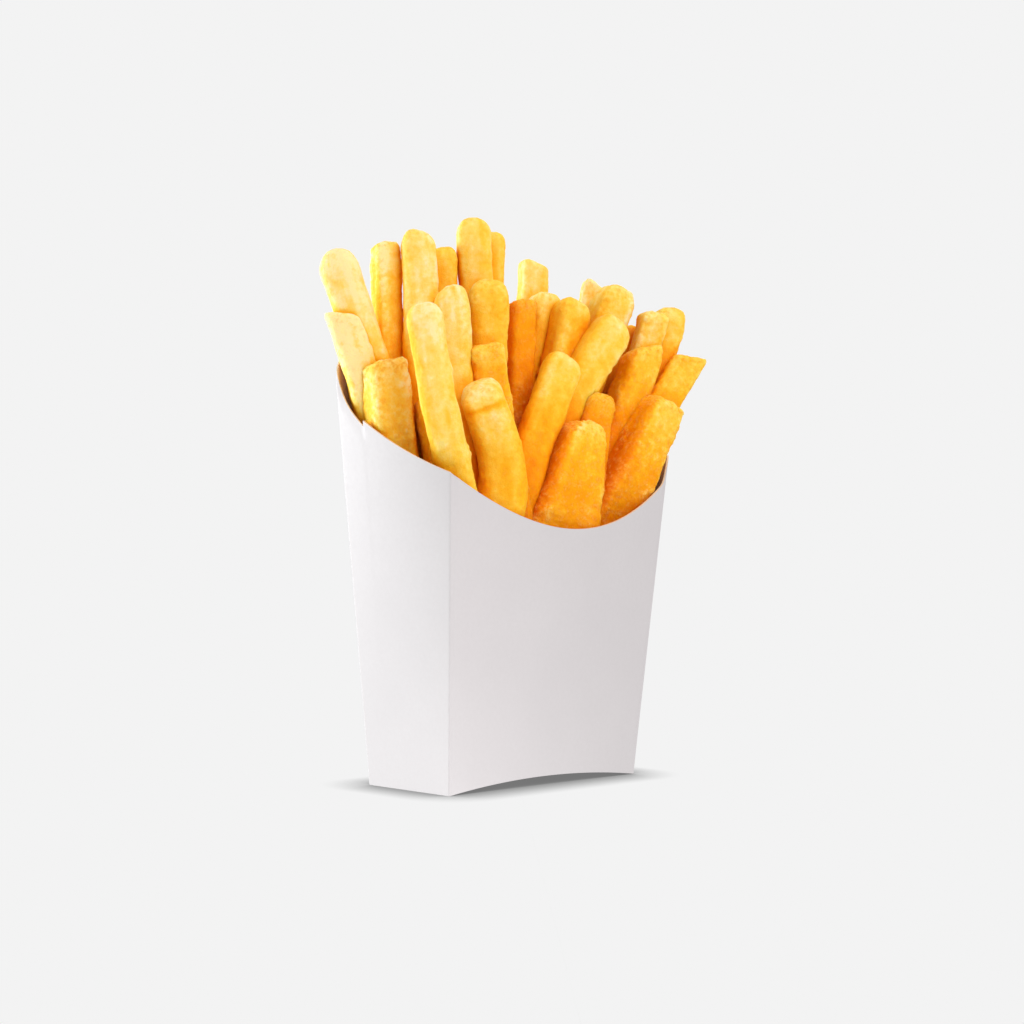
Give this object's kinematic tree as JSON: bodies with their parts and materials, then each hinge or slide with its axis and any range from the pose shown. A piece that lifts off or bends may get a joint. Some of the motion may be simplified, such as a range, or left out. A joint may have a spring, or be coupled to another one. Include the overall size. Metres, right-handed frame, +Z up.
{
  "type": "french fries in a paperboard carton",
  "caption": "Plain white paperboard scoop carton packed with chunky golden french fries that stand and lean out over its swept rim.",
  "frame": {"origin": "on the surface the carton stands on, under the middle of the whole part's box, leaning fries included", "axes": "+Z up; +X to the right along the wide front panel; +Y from the low scooped front panel to the high back panel"},
  "size_m": [0.126, 0.0562, 0.1677],
  "materials": {
    "board": "uncoated white folding board, matte, with a brown kraft inner face",
    "fried_potato": "deep-fried potato, pale gold to orange gold, with a dull oily sheen and crisp browned edges"
  },
  "bodies": {
    "root": {"carton": "board", "fries": "fried_potato"}
  },
  "joints": []
}
